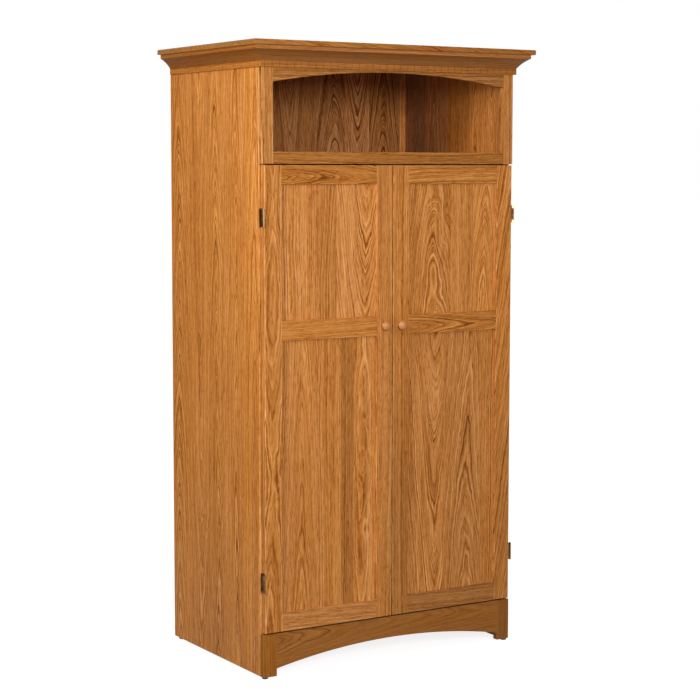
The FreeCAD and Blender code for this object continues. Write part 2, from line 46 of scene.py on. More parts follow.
def maths(tree, operation, *values):
    return node(tree, "Math", dict(enumerate(values)), operation=operation)


def vectors(tree, operation, *values):
    outlet = "Value" if operation in ("LENGTH", "DOT_PRODUCT") else "Vector"
    return node(tree, "VectorMath", dict(enumerate(values)), outlet, operation=operation)


def within(tree, value, low, high, bottom=0.0, top=1.0):
    """Turns a range of values into another, eased at both ends."""
    inlets = {"Value": value, "From Min": low, "From Max": high, "To Min": bottom, "To Max": top}
    return node(tree, "MapRange", inlets, interpolation_type="SMOOTHSTEP")


def shades(tree, value, stops):
    """A run of colours over a value from 0 to 1."""
    outlet = node(tree, "ValToRGB", {"Fac": value})
    marks = outlet.node.color_ramp.elements
    while len(marks) < len(stops):
        marks.new(0.5)
    for mark, (place, colour) in zip(marks, stops):
        mark.position = place
        mark.color = (*colour, 1.0)
    return outlet


def group(name, inlets, outlets):
    """A node group, with its inlets and outlets in hand."""
    tree = bpy.data.node_groups.new(name, "ShaderNodeTree")
    for way, sockets in (("INPUT", inlets), ("OUTPUT", outlets)):
        for label, kind in sockets.items():
            socket = "NodeSocket" + kind
            tree.interface.new_socket(name=label, in_out=way, socket_type=socket)
    return tree, tree.nodes.new("NodeGroupInput").outputs, tree.nodes.new("NodeGroupOutput").inputs


STAINED_OAK = [
    (0.0, (0.16, 0.044, 0.004)),
    (0.25, (0.31, 0.091, 0.012)),
    (0.5, (0.48, 0.172, 0.036)),
    (0.75, (0.62, 0.253, 0.068)),
    (1.0, (0.78, 0.354, 0.120)),
]


def red_oak():
    """The growth rings of one log as a saw lays them open, with pores, fibres and rays.

    Board is a point with X across the board, Y through it and Z along its grain. Heart holds the
    place of the pith across and through the board, and how fast the rings climb along it. Look
    holds the width of a ring, how light the board is and how red. Figure holds how far the flames
    reach to each side of the heart, and how strong the rings are in them and beside them. Swell
    and Waver bend the rings, and Bold is how strongly all marks stand out.
    """
    wood, given, result = group(
        "red_oak",
        {"Board": "Vector", "Heart": "Vector", "Look": "Vector", "Figure": "Vector",
         "Swell": "Float", "Waver": "Float", "Bold": "Float"},
        {"Colour": "Color", "Roughness": "Float", "Relief": "Float"},
    )
    board = given["Board"]
    # The place of the heart also picks each board's own stretch of the noise.
    own = vectors(wood, "MULTIPLY", given["Heart"], (977.0, 643.0, 391.0))

    def noise(across, along, detail, outlet="Fac"):
        """Noise with so many cells per metre across the board and along it."""
        place = vectors(wood, "MULTIPLY_ADD", board, (across, across, along), own)
        return node(wood, "TexNoise", {"Vector": place, "Scale": 1.0, "Detail": detail}, outlet)

    def swing(across, along, detail, reach):
        """Noise that moves a point by about a quarter of its reach, in metres."""
        even = vectors(wood, "SUBTRACT", noise(across, along, detail, "Color"), (0.5, 0.5, 0.5))
        return vectors(wood, "MULTIPLY", even, reach)

    # The trunk wanders over a metre, the rings ripple over a hand and are jagged at their edges.
    wander = vectors(wood, "MULTIPLY", swing(2.4, 1.1, 1.0, (0.05, 0.05, 0.0)),
                     node(wood, "CombineXYZ", {0: given["Waver"], 1: given["Waver"]}))
    ripple = swing(16.0, 8.0, 2.0, (0.010, 0.010, 0.024))
    jag = swing(90.0, 26.0, 2.0, (0.0034, 0.0034, 0.012))
    bent = vectors(wood, "ADD", board, wander)
    bent = vectors(wood, "ADD", bent, vectors(wood, "ADD", ripple, jag))

    # Reach is how far a point lies from the pith, which rises or falls along the board.
    heart = node(wood, "SeparateXYZ", {0: given["Heart"]}).node.outputs
    look = node(wood, "SeparateXYZ", {0: given["Look"]}).node.outputs
    along = node(wood, "SeparateXYZ", {0: bent}, "Z")
    off_pith = vectors(wood, "MULTIPLY", vectors(wood, "SUBTRACT", bent, given["Heart"]), (1, 1, 0))
    figure = node(wood, "SeparateXYZ", {0: given["Figure"]}).node.outputs
    beside = maths(wood, "ABSOLUTE", node(wood, "SeparateXYZ", {0: off_pith}))
    inside, outside = (maths(wood, "MULTIPLY", figure["X"], share) for share in (0.6, 1.5))
    strength = within(wood, beside, inside, outside, figure["Y"], figure["Z"])
    reach = maths(wood, "ADD", vectors(wood, "LENGTH", off_pith), given["Swell"])
    reach = maths(wood, "MULTIPLY_ADD", beside, 0.20, reach)
    reach = maths(wood, "MULTIPLY_ADD", heart["Z"], along, reach)
    uneven, lean, fine = (
        node(wood, "TexNoise",
             {"W": maths(wood, "MULTIPLY", reach, pace), "Scale": 1.0, "Detail": 1.0},
             noise_dimensions="1D")
        for pace in (42.0, 125.0, 290.0)
    )
    lean = within(wood, lean, 0.40, 0.64)
    years = maths(wood, "MULTIPLY_ADD", uneven, 5.0, maths(wood, "DIVIDE", reach, look["X"]))

    # Each year begins with a band of coarse, dark early wood, broad in some years, faint in others.
    season = maths(wood, "FRACT", years)
    early = shades(wood, season, [(0.0, (0.5,) * 3), (0.06, (1.0,) * 3), (0.24, (0.8,) * 3),
                                  (0.5, (0.16,) * 3), (0.92, (0.0,) * 3), (1.0, (0.5,) * 3)])
    year = node(wood, "TexWhiteNoise", {"W": maths(wood, "FLOOR", years)}, noise_dimensions="1D")
    band = maths(wood, "MULTIPLY", early, within(wood, year, 0.15, 0.9, 0.12, 1.0))
    band, lean = (maths(wood, "MULTIPLY", mark, strength) for mark in (band, lean))
    pore = within(wood, noise(620.0, 50.0, 1.0), 0.5, 0.66)
    open_pore = maths(wood, "MULTIPLY", pore, maths(wood, "MULTIPLY_ADD", early, 0.75, 0.25))
    ray = within(wood, noise(330.0, 60.0, 0.0), 0.62, 0.76)

    # What darkens the wood has a weight below zero, and what only varies it has one above.
    light = maths(wood, "MULTIPLY_ADD", strength, 0.22, 0.60)
    for mark, weight in (
        (band, -0.60),
        (lean, -0.24),
        (open_pore, -0.28),
        (ray, -0.14),
        (fine, 0.90),
        (noise(300.0, 20.0, 1.0), 0.56),
        (noise(150.0, 34.0, 1.0), 0.26),
        (noise(70.0, 2.2, 2.0), 0.50),
        (noise(9.0, 1.4, 2.0), 0.26),
    ):
        middle = 0.0 if weight < 0 else weight / 2
        light = maths(wood, "SUBTRACT", maths(wood, "MULTIPLY_ADD", mark, weight, light), middle)
    light = maths(wood, "MULTIPLY_ADD", maths(wood, "SUBTRACT", light, 0.5), given["Bold"], 0.5)
    stain = shades(wood, light, STAINED_OAK)

    # Streaks along the grain are redder or yellower than the board.
    streak = maths(wood, "MULTIPLY_ADD", noise(30.0, 0.7, 1.0), 1.0, -0.5)
    red = maths(wood, "ADD", look["Z"], streak)
    hue = {0: 1.0, 1: maths(wood, "MULTIPLY_ADD", red, -0.11, 1.0),
           2: maths(wood, "MULTIPLY_ADD", red, -0.60, 1.0)}
    toned = vectors(wood, "MULTIPLY", stain, node(wood, "CombineXYZ", hue))
    even = node(wood, "CombineXYZ", {0: look["Y"], 1: look["Y"], 2: look["Y"]})
    wood.links.new(vectors(wood, "MULTIPLY", toned, even), result["Colour"])
    rough = maths(wood, "MULTIPLY_ADD", band, 0.06, 0.40)
    rough = maths(wood, "MULTIPLY_ADD", open_pore, 0.16, rough)
    wood.links.new(rough, result["Roughness"])
    sunk = maths(wood, "MULTIPLY_ADD", band, -0.00003, maths(wood, "MULTIPLY", open_pore, -0.00007))
    wood.links.new(sunk, result["Relief"])
    return wood


def eased_edge():
    """How near a point of a square-sawn piece is to one of its edges, from 0 to 1."""
    edge, given, result = group(
        "eased_edge", {"Point": "Vector", "Centre": "Vector", "Half": "Vector"}, {"Edge": "Float"}
    )
    off = vectors(edge, "ABSOLUTE", vectors(edge, "SUBTRACT", given["Point"], given["Centre"]))
    gap = node(edge, "SeparateXYZ", {0: vectors(edge, "SUBTRACT", given["Half"], off)}).node.outputs
    nearer = maths(edge, "MINIMUM", gap["X"], gap["Y"])
    farther = maths(edge, "MAXIMUM", gap["X"], gap["Y"])
    second = maths(edge, "MAXIMUM", nearer, maths(edge, "MINIMUM", farther, gap["Z"]))
    # The pale band along an edge, partly wear and partly a painted highlight, varies in width in
    # patches.
    worn_and_lit_patches = {"Vector": given["Point"], "Scale": 45.0, "Detail": 3.0}
    worn_and_lit_width = maths(edge, "MULTIPLY", node(edge, "TexNoise", worn_and_lit_patches), 0.0060)
    edge.links.new(within(edge, second, 0.0, worn_and_lit_width, 1.0, 0.0), result["Edge"])
    return edge


wood_grain, wood_edge = red_oak(), eased_edge()
RING = 0.0030
FAR_OFF = 9.0
END_GRAIN_TINT = (0.80, 0.89, 0.88)
# Edges are made paler by this tint, partly for wear and partly as a painted highlight where they
# catch the light.
WORN_AND_LIT_EDGE_TINT = (1.30, 1.60, 2.2)


def plank(heart, climb=0.0, ring=RING, tone=1.0, red=0.0, start=-FAR_OFF,
          figure=(FAR_OFF, 0.7, 0.7)):
    """One board of a piece.

    Heart is the place of its pith across and through the piece, climb how fast the rings rise
    along it and ring their width. Tone is how light the board is and red how red. Start is where
    it begins across the piece. Figure is how far its flames reach to each side of the heart, and
    how strong the rings are in them and beside them.
    """
    return {"start": start, "heart": (*heart, climb), "look": (ring, tone, red), "figure": figure}


def oak(name, turn, *planks, swirls=(), slant=0.0, waver=1.0, bold=1.0, edges="XYZ",
        edge_wear_and_highlight=0.25, gloss=0.10, foot_gloss=0.0, painted_falloff=0.0):
    """Gives a piece its own boards of red oak.

    Turn names the axes across, through and along the grain. A swirl is its place across and
    along the board, its half width, its half length and how far it lifts the rings. Slant turns
    the grain in the plane of the board. Edges names the axes whose edges are eased, and the wear
    of the edges is how pale they are made, partly rubbed and partly a painted highlight where the
    rounded edge catches the light. The lacquer can be glossier at the foot of a piece, where it was
    sprayed wetter, and the painted fall-off of the light says how much darker the lower half of a
    piece is made and how much lighter its upper half.
    """
    low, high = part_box(name)
    centre, half = (low + high) / 2, (high - low) / 2
    skin = bpy.data.materials.new(name + "_oak")
    skin.use_nodes = True
    tree = skin.node_tree
    lacquer = tree.nodes["Principled BSDF"].inputs
    point = node(tree, "TexCoord", {}, "Object")
    axes = node(tree, "SeparateXYZ", {0: point}).node.outputs
    board = node(tree, "CombineXYZ", dict(enumerate(axes[axis] for axis in turn)))
    if slant:
        middle = [centre["XYZ".index(axis)] for axis in turn]
        inlets = {"Vector": board, "Center": middle, "Angle": slant}
        board = node(tree, "VectorRotate", inlets, rotation_type="Y_AXIS")
    place = node(tree, "SeparateXYZ", {0: board}).node.outputs

    traits = [planks[0][trait] for trait in ("heart", "look", "figure")]
    for neighbour in planks[1:]:
        past = maths(tree, "GREATER_THAN", place["X"], neighbour["start"])
        traits = [
            node(tree, "Mix", {0: past, 4: before, 5: neighbour[trait]}, 1, data_type="VECTOR")
            for before, trait in zip(traits, ("heart", "look", "figure"))
        ]
    swell = 0.0
    for across, along, half_width, half_length, lift in swirls:
        off = vectors(tree, "SUBTRACT", board, (across, 0.0, along))
        off = vectors(tree, "MULTIPLY", off, (1 / half_width, 0.0, 1 / half_length))
        fall = maths(tree, "MULTIPLY", vectors(tree, "DOT_PRODUCT", off, off), -1.0)
        swell = maths(tree, "MULTIPLY_ADD", maths(tree, "EXPONENT", fall), lift, swell)

    grain = tree.nodes.new("ShaderNodeGroup")
    grain.node_tree = wood_grain
    given = {"Board": board, "Heart": traits[0], "Look": traits[1], "Figure": traits[2],
             "Swell": swell, "Waver": waver, "Bold": bold}
    for label, value in given.items():
        if isinstance(value, bpy.types.NodeSocket):
            tree.links.new(value, grain.inputs[label])
        else:
            grain.inputs[label].default_value = value
    facing = node(tree, "SeparateXYZ", {0: node(tree, "TexCoord", {}, "Normal")}).node.outputs
    sawn = within(tree, maths(tree, "ABSOLUTE", facing[turn[2]]), 0.6, 0.95)
    across_grain = vectors(tree, "MULTIPLY", grain.outputs["Colour"], END_GRAIN_TINT)
    inlets = {0: sawn, 4: grain.outputs["Colour"], 5: across_grain}
    colour = node(tree, "Mix", inlets, 1, data_type="VECTOR")
    # Painted light and shade: the lower half of the piece is made darker and its upper half
    # lighter.
    if painted_falloff:
        height = within(tree, axes["Z"], 0.45, 1.25, 1 - painted_falloff, 1 + painted_falloff)
        evenly = node(tree, "CombineXYZ", {0: height, 1: height, 2: height})
        colour = vectors(tree, "MULTIPLY", colour, evenly)
    # Near the chosen edges the colour is made paler: partly wear, partly a painted highlight.
    if edges:
        edge = tree.nodes.new("ShaderNodeGroup")
        edge.node_tree = wood_edge
        tree.links.new(point, edge.inputs["Point"])
        edge.inputs["Centre"].default_value = centre
        edge.inputs["Half"].default_value = [
            size if axis in edges else FAR_OFF for axis, size in zip("XYZ", half)
        ]
        worn_and_lit_edge = vectors(tree, "MULTIPLY", colour, WORN_AND_LIT_EDGE_TINT)
        inlets = {0: maths(tree, "MULTIPLY", edge.outputs["Edge"], edge_wear_and_highlight), 4: colour, 5: worn_and_lit_edge}
        colour = node(tree, "Mix", inlets, 1, data_type="VECTOR")
    tree.links.new(colour, lacquer["Base Color"])
    tree.links.new(grain.outputs["Roughness"], lacquer["Roughness"])
    bump = {"Strength": 0.5, "Distance": 1.0, "Height": grain.outputs["Relief"]}
    tree.links.new(node(tree, "Bump", bump), lacquer["Normal"])
    lacquer["Specular IOR Level"].default_value = gloss
    if foot_gloss:
        wetter = within(tree, axes["Z"], 0.6, 0.1, gloss, foot_gloss)
        tree.links.new(wetter, lacquer["Specular IOR Level"])
    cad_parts[name].data.materials.clear()
    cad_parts[name].data.materials.append(skin)


oak(
    "base_foot_left", "XYZ",
    plank((-0.47, -0.21), tone=0.66, red=0.6),
    edges="XY", bold=0.6, edge_wear_and_highlight=0.5, gloss=0.02,
)
oak(
    "base_foot_right", "XYZ",
    plank((0.36, -0.22), tone=0.49, red=0.5),
    edges="XY", bold=0.6,
)


# ---------------------------------------------------------------- arched rail of the base
# One oak board on edge between the feet, its lower edge bandsawn to an arc and sanded.
# Flat-sawn, so the flame of the grain runs along it.
oak(
    "base_rail", "ZYX",
    plank((0.10, -0.205), climb=0.07, tone=0.61, red=0.35),
    edges="YZ", waver=2.0, bold=0.5,
)


# ---------------------------------------------------------------- back rail and corner blocks
# Plain oak rail under the case bottom at the back, and four glued blocks that stiffen the
# corners. They are left with the saw's finish and a thin coat of the same stain.
oak(
    "base_back_rail", "ZYX",
    plank((0.4, 0.33), tone=0.75),
    edges="YZ",
)
oak(
    "corner_blocks", "XYZ",
    plank((0.9, 0.6), tone=0.75),
    edges="",
)


# ---------------------------------------------------------------- sides
# Each side is glued up from five flat-sawn boards, planed flat and sanded, grain upright. Tint
# and figure change from board to board. The right side is made the same, from other boards.
LEFT_FACE, RIGHT_FACE = -0.438, 0.438
oak(
    "side_panel_left", "YXZ",
    plank((-0.212, LEFT_FACE + 0.050), climb=0.02, ring=0.0022, tone=1.11, red=0.36,
          figure=(FAR_OFF, 0.4, 0.4)),
    plank((-0.104, LEFT_FACE + 0.022), climb=0.06, tone=1.06, red=0.27,
          start=-0.148, figure=(0.014, 0.9, 0.4)),
    plank((0.016, LEFT_FACE + 0.026), climb=0.08, tone=1.02, red=0.32,
          start=-0.027, figure=(0.022, 1.0, 0.45)),
    plank((0.120, LEFT_FACE + 0.050), climb=-0.04, ring=0.0024, tone=1.10, red=0.15,
          start=0.075, figure=(FAR_OFF, 0.5, 0.5)),
    plank((0.262, LEFT_FACE + 0.030), climb=0.12, ring=0.0026, tone=1.10, red=0.35,
          start=0.190, figure=(0.040, 0.8, 0.5)),
    edges="XY", edge_wear_and_highlight=1.0, gloss=0.01, foot_gloss=0.04,
)
# Its boards towards the back are darker and greyer, partly their own tint and partly painted shade
# inside the cubby.
oak(
    "side_panel_right", "YXZ",
    plank((-0.185, RIGHT_FACE - 0.040), climb=-0.10, tone=1.01, red=0.1,
          figure=(0.040, 1.0, 0.5)),
    plank((-0.085, RIGHT_FACE - 0.036), climb=0.10, tone=1.03, red=0.1,
          start=-0.160, figure=(0.040, 1.0, 0.5)),
    plank((0.300, RIGHT_FACE - 0.150), climb=0.02, ring=0.0050, tone=0.86, red=0.4,
          start=-0.060, figure=(FAR_OFF, 0.5, 0.5)),
    plank((0.130, RIGHT_FACE - 0.040), climb=0.08, ring=0.0044, tone=0.94, red=-0.8,
          start=0.056, figure=(0.030, 1.0, 0.5)),
    plank((0.250, RIGHT_FACE - 0.040), climb=-0.08, ring=0.0044, tone=0.68, red=-1.9,
          start=0.185, figure=(0.030, 1.0, 0.5)),
    edges="XY", gloss=0.03,
)


# ---------------------------------------------------------------- fixed panels of the case
# Bottom, tower shelf, desk shelf, cubby floor and top: oak-veneered boards with solid front
# edges, grain running across the armoire, glued into dados in the sides.
oak(
    "case_bottom", "YZX",
    plank((0.10, 0.06), climb=0.03, tone=0.85),
    edges="",
)
oak(
    "tower_shelf", "YZX",
    plank((-0.05, 0.50), climb=0.03, tone=0.85),
    edges="",
)
oak(
    "desk_shelf", "YZX",
    plank((0.12, 0.66), climb=0.025, tone=0.9),
    plank((0.18, 0.64), climb=-0.03, tone=0.86, start=0.135),
    edges="",
)
oak(
    "cubby_floor", "YZX",
    plank((-0.12, 1.45), climb=0.03, tone=0.92),
    plank((0.10, 1.44), climb=-0.03, tone=0.88, start=0.01),
    edges="",
)
oak(
    "case_top", "YZX",
    plank((0.0, 1.73), climb=0.03, tone=0.95, red=-0.9),
    edges="",
)


# ---------------------------------------------------------------- divider
# Veneered upright between the wide bay and the tower bay, housed in the case bottom and the
# tower shelf, with rows of holes for shelf pins.
oak(
    "lower_divider", "YXZ",
    plank((-0.12, 0.09), climb=0.05, tone=0.85),
    plank((0.17, 0.08), climb=-0.05, tone=0.82, start=0.02),
    edges="",
)


# ---------------------------------------------------------------- back
# A thin veneered panel let into rabbets of the sides and top, grain upright, with bold flames
# matched side by side and a pale strip of veneer along its right edge.
BACK_FACE = 0.300
oak(
    "back_panel", "XYZ",
    plank((-0.33, BACK_FACE + 0.030), climb=0.10, ring=0.0044, tone=0.82, red=-0.1,
          figure=(0.04, 1.0, 0.6)),
    plank((-0.19, BACK_FACE + 0.030), climb=-0.10, ring=0.0044, tone=0.78, red=-0.1,
          start=-0.26, figure=(0.04, 1.0, 0.6)),
    plank((-0.03, BACK_FACE + 0.030), climb=-0.12, ring=0.0044, tone=0.68, red=-0.15,
          start=-0.10, figure=(0.04, 1.0, 0.6)),
    plank((0.137, BACK_FACE + 0.030), climb=0.16, ring=0.0044, tone=0.78, red=-0.55,
          start=0.075, figure=(0.04, 1.0, 0.6)),
    plank((0.221, BACK_FACE + 0.030), climb=-0.14, ring=0.0044, tone=0.92, red=-0.6,
          start=0.181, figure=(0.04, 1.0, 0.6)),
    plank((0.330, BACK_FACE + 0.030), climb=0.12, ring=0.0044, tone=0.72, red=-0.1,
          start=0.275, figure=(0.04, 1.0, 0.6)),
    plank((0.60, BACK_FACE + 0.05), tone=1.2, start=0.396),
    edges="", bold=1.3,
)


# ---------------------------------------------------------------- plastic fittings
# Moulded brown plastic: the rings pressed into the two round cable ports of the back, the foot
# glides nailed under the sides, and the cases of the magnetic catches, screwed up inside. The
# plastic is lightly pebbled, a little paler where it has been rubbed.
def fitting_finish(name, pieces, colours, rough, cells, depth, metal=0.0, spots=4.0):
    """A surface whose colour and roughness drift over fine cells, on a list of pieces.

    Rough is the lowest and highest roughness, cells how many cells there are in a metre, spots
    how much broader the drift is than a cell, and depth how far the cells stand out in metres.
    """
    skin = bpy.data.materials.new(name)
    skin.use_nodes = True
    tree = skin.node_tree
    face = tree.nodes["Principled BSDF"].inputs
    point = node(tree, "TexCoord", {}, "Object")
    fine = node(tree, "TexNoise", {"Vector": point, "Scale": cells, "Detail": 3.0})
    broad = node(tree, "TexNoise", {"Vector": point, "Scale": cells / spots, "Detail": 2.0})
    both = maths(tree, "MULTIPLY_ADD", fine, 0.45, maths(tree, "MULTIPLY", broad, 0.55))
    tree.links.new(shades(tree, within(tree, both, 0.3, 0.7), colours), face["Base Color"])
    tree.links.new(within(tree, broad, 0.3, 0.7, *rough), face["Roughness"])
    bump = {"Strength": 0.5, "Distance": depth, "Height": fine}
    tree.links.new(node(tree, "Bump", bump), face["Normal"])
    face["Metallic"].default_value = metal
    for piece in pieces:
        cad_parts[piece].data.materials.clear()
        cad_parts[piece].data.materials.append(skin)
    return skin


BROWN_PLASTIC = [
    (0.0, (0.030, 0.017, 0.010)), (0.7, (0.052, 0.030, 0.018)), (1.0, (0.085, 0.054, 0.034))
]
fitting_finish(
    "brown_plastic",
    ["cable_grommets", "glides", "magnetic_catches"],
    BROWN_PLASTIC, rough=(0.38, 0.55), cells=900.0, depth=0.00004,
)


# ---------------------------------------------------------------- face frame of the cubby
# Solid oak stiles and rails glued edge to edge round the cubby: the top rail is cut to a shallow
# arch, the lower rail's top edge is softened. Grain follows each piece's length.
FRAME_FACE = -0.2635
oak(
    "frame_stile_left", "XYZ",
    plank((-0.53, FRAME_FACE + 0.03), climb=0.004, tone=0.86),
    edges="XY", edge_wear_and_highlight=1.0, gloss=0.02,
)
oak(
    "frame_stile_right", "XYZ",
    plank((0.33, FRAME_FACE + 0.04), climb=0.004, tone=1.0),
    edges="XY",
)
# The top rail is made darker than the stiles, partly its own tone and partly painted shade under
# the crown.
oak(
    "frame_top_rail", "ZYX",
    plank((1.84, FRAME_FACE + 0.05), climb=0.010, tone=0.66),
    edges="",
)
oak(
    "frame_lower_rail", "ZYX",
    plank((1.42, FRAME_FACE + 0.03), climb=0.006, tone=0.72, red=0.33),
    edges="YZ",
)


# ---------------------------------------------------------------- dentil strips
# A flat strip under the cove, sawn with narrow kerfs at an even pitch and mitred at the corners.
# The stain gathers a little in the kerfs.
# The front strip is made darker than the side strips, a painted shade under the overhang of the
# cove.
oak(
    "dentil_strip_front", "ZYX",
    plank((1.50, -0.20), tone=0.71, red=0.28),
    edges="", bold=0.6,
)
oak(
    "dentil_strip_left", "ZXY",
    plank((1.50, -0.38), tone=0.88, red=0.6),
    edges="", bold=0.6, gloss=0.02,
)
oak(
    "dentil_strip_right", "ZXY",
    plank((1.51, 0.37), tone=0.90),
    edges="", bold=0.8,
)


# ---------------------------------------------------------------- coves
# Concave oak mouldings run on a spindle moulder, mitred at the corners and nailed between the
# dentil strip and the crown board. Their hollow is made darker than the flat boards, all but the
# lip over it: painted shade where the hollow faces down.
# Above this height the lip is left out of the painted shade of the hollow.
COVE_LIP = 1.803
oak(
    "crown_cove_front", "ZYX",
    plank((1.50, -0.10), climb=0.004, tone=0.54, red=0.25),
    plank((1.50, -0.10), climb=0.004, tone=0.82, red=-0.25, start=COVE_LIP),
    edges="", bold=0.5,
)
oak(
    "crown_cove_left", "ZXY",
    plank((1.50, -0.20), climb=0.004, tone=0.51, red=1.0),
    plank((1.50, -0.20), climb=0.004, tone=0.68, red=0.5, start=COVE_LIP),
    edges="", bold=0.5, gloss=0.02,
)
oak(
    "crown_cove_right", "ZXY",
    plank((1.51, 0.21), climb=0.004, tone=0.50, red=0.6),
    edges="", bold=0.8,
)


# ---------------------------------------------------------------- crown board
# The flat top board, three boards glued edge to edge with the grain along the front. Its edges
# are rounded over.
oak(
    "crown_board", "YZX",
    plank((-0.20, 1.74), climb=0.12, tone=0.77, red=0.1),
    plank((0.02, 1.74), climb=-0.12, tone=0.86, red=0.2, start=-0.10),
    plank((0.2, 1.745), climb=0.10, tone=0.82, start=0.11),
    edges="XZ", bold=0.6, gloss=0.03,
)


# ---------------------------------------------------------------- adjustable shelves
# Two loose oak-veneered shelves with solid edges, one over the desk and one in the wide low
# bay. They lie on steel pins pushed into rows of holes.
oak(
    "upper_shelf", "YZX",
    plank((-0.05, 1.18), climb=0.03, tone=0.9),
    plank((0.12, 1.17), climb=-0.03, tone=0.87, start=0.04),
    edges="XYZ",
)
oak(
    "lower_shelf", "YZX",
    plank((0.05, 0.27), climb=0.03, tone=0.88),
    edges="XYZ",
)


# ---------------------------------------------------------------- black steel fittings
# Mild steel, stove-enamelled black: the turned shelf pins, the rolled channels and runners of the
# keyboard tray, and the strike plates that are screwed to the backs of the doors.
BLACK_ENAMEL = [
    (0.0, (0.012, 0.011, 0.010)), (0.75, (0.022, 0.020, 0.018)), (1.0, (0.050, 0.045, 0.040))
]
fitting_finish(
    "black_enamel",
    ["shelf_pins", "tray_channels", "tray_runners", "strike_plate_left", "strike_plate_right"],
    BLACK_ENAMEL, rough=(0.30, 0.46), cells=420.0, depth=0.00002,
)


# ---------------------------------------------------------------- keyboard tray
# A flat oak-veneered tray with a solid lip glued along its front. It hangs by its two black
# steel runners in the channels, which are screwed to the sides.
oak(
    "keyboard_tray", "YZX",
    plank((-0.04, 0.59), climb=0.03, tone=0.9),
    edges="XYZ",
)
oak(
    "tray_lip", "ZYX",
    plank((0.55, -0.02), climb=0.004, tone=0.95),
    edges="XYZ",
)


# ---------------------------------------------------------------- door stiles
# The four uprights of the doors, solid oak, grooved for the panels. The left hinge stile was cut
# over the heart and shows long ovals; the right one has slanting grain round a small knot.
DOOR_FACE = -0.2675
oak(
    "door_hinge_stile_left", "XYZ",
    plank((-0.411, DOOR_FACE + 0.044), ring=0.0058, tone=1.00, red=0.15,
          figure=(FAR_OFF, 0.5, 0.5)),
    swirls=[
        (-0.41, 0.585, 0.10, 0.40, 0.034),
        (-0.41, 1.400, 0.10, 0.20, 0.020),
    ],
    edges="XY", edge_wear_and_highlight=1.0,
)
oak(
    "door_meeting_stile_left", "XYZ",
    plank((0.08, DOOR_FACE + 0.05), climb=0.006, ring=0.0064, tone=1.00, red=0.1,
          figure=(FAR_OFF, 0.4, 0.4)),
    edges="XY", edge_wear_and_highlight=1.0,
)
# The two right stiles carry a painted fall-off of the light, darker at the foot and lighter at the
# top.
oak(
    "door_meeting_stile_right", "XYZ",
    plank((0.19, DOOR_FACE + 0.05), climb=-0.005, ring=0.0064, tone=0.93, red=0.1,
          figure=(FAR_OFF, 0.4, 0.4)),
    edges="XY", edge_wear_and_highlight=0.6, painted_falloff=0.16,
)
oak(
    "door_hinge_stile_right", "XYZ",
    plank((0.30, DOOR_FACE + 0.04), climb=0.002, ring=0.0040, tone=0.99, red=0.42),
    swirls=[
        (0.387, 0.613, 0.010, 0.022, 0.022),
    ],
    slant=math.radians(-10.0), edges="XY", edge_wear_and_highlight=0.8, painted_falloff=0.10,
)


# ---------------------------------------------------------------- door rails
# Three rails in each door, tenoned between the stiles, grain level. Two are flat-sawn and show
# pointed flames, the others are straight.
oak(
    "door_top_rail_left", "ZYX",
    plank((1.450, DOOR_FACE + 0.026), climb=0.09, ring=0.0034, tone=0.87, red=0.5),
    edges="YZ",
)
oak(
    "door_mid_rail_left", "ZYX",
    plank((0.86, DOOR_FACE + 0.04), climb=0.004, tone=1.04, red=0.2),
    slant=math.radians(-2.0), edges="YZ", bold=0.8,
)
oak(
    "door_bottom_rail_left", "ZYX",
    plank((0.02, DOOR_FACE + 0.04), climb=0.004, tone=0.94, red=-0.15),
    slant=math.radians(3.0), edges="YZ",
)
oak(
    "door_top_rail_right", "ZYX",
    plank((1.33, DOOR_FACE + 0.04), climb=0.004, tone=0.93, red=0.5),
    slant=math.radians(-3.0), edges="YZ",
)
oak(
    "door_mid_rail_right", "ZYX",
    plank((1.008, DOOR_FACE + 0.026), climb=0.09, ring=0.0034, tone=0.92, red=0.45),
    edges="YZ", bold=0.85,
)
oak(
    "door_bottom_rail_right", "ZYX",
    plank((0.02, DOOR_FACE + 0.05), climb=0.004, tone=0.68, red=0.05),
    slant=math.radians(2.0), edges="YZ",
)


# ---------------------------------------------------------------- door panels
# Flat panels glued up from three to six boards, floating in the grooves of the doors, grain
# upright. They sit a little behind the frames.
PANEL_FACE = -0.2612
oak(
    "door_upper_panel_left", "XYZ",
    plank((-0.62, PANEL_FACE + 0.06), ring=0.0060, tone=1.08, red=-0.05,
          figure=(FAR_OFF, 0.5, 0.5)),
    plank((-0.48, PANEL_FACE + 0.05), ring=0.0060, tone=0.94, red=0.2,
          start=-0.250, figure=(FAR_OFF, 0.5, 0.5)),
    plank((-0.092, PANEL_FACE + 0.050), climb=-0.14, ring=0.0038, tone=1.11, red=-0.05,
          start=-0.191, figure=(0.042, 0.8, 0.55)),
    edges="", waver=1.4,
)
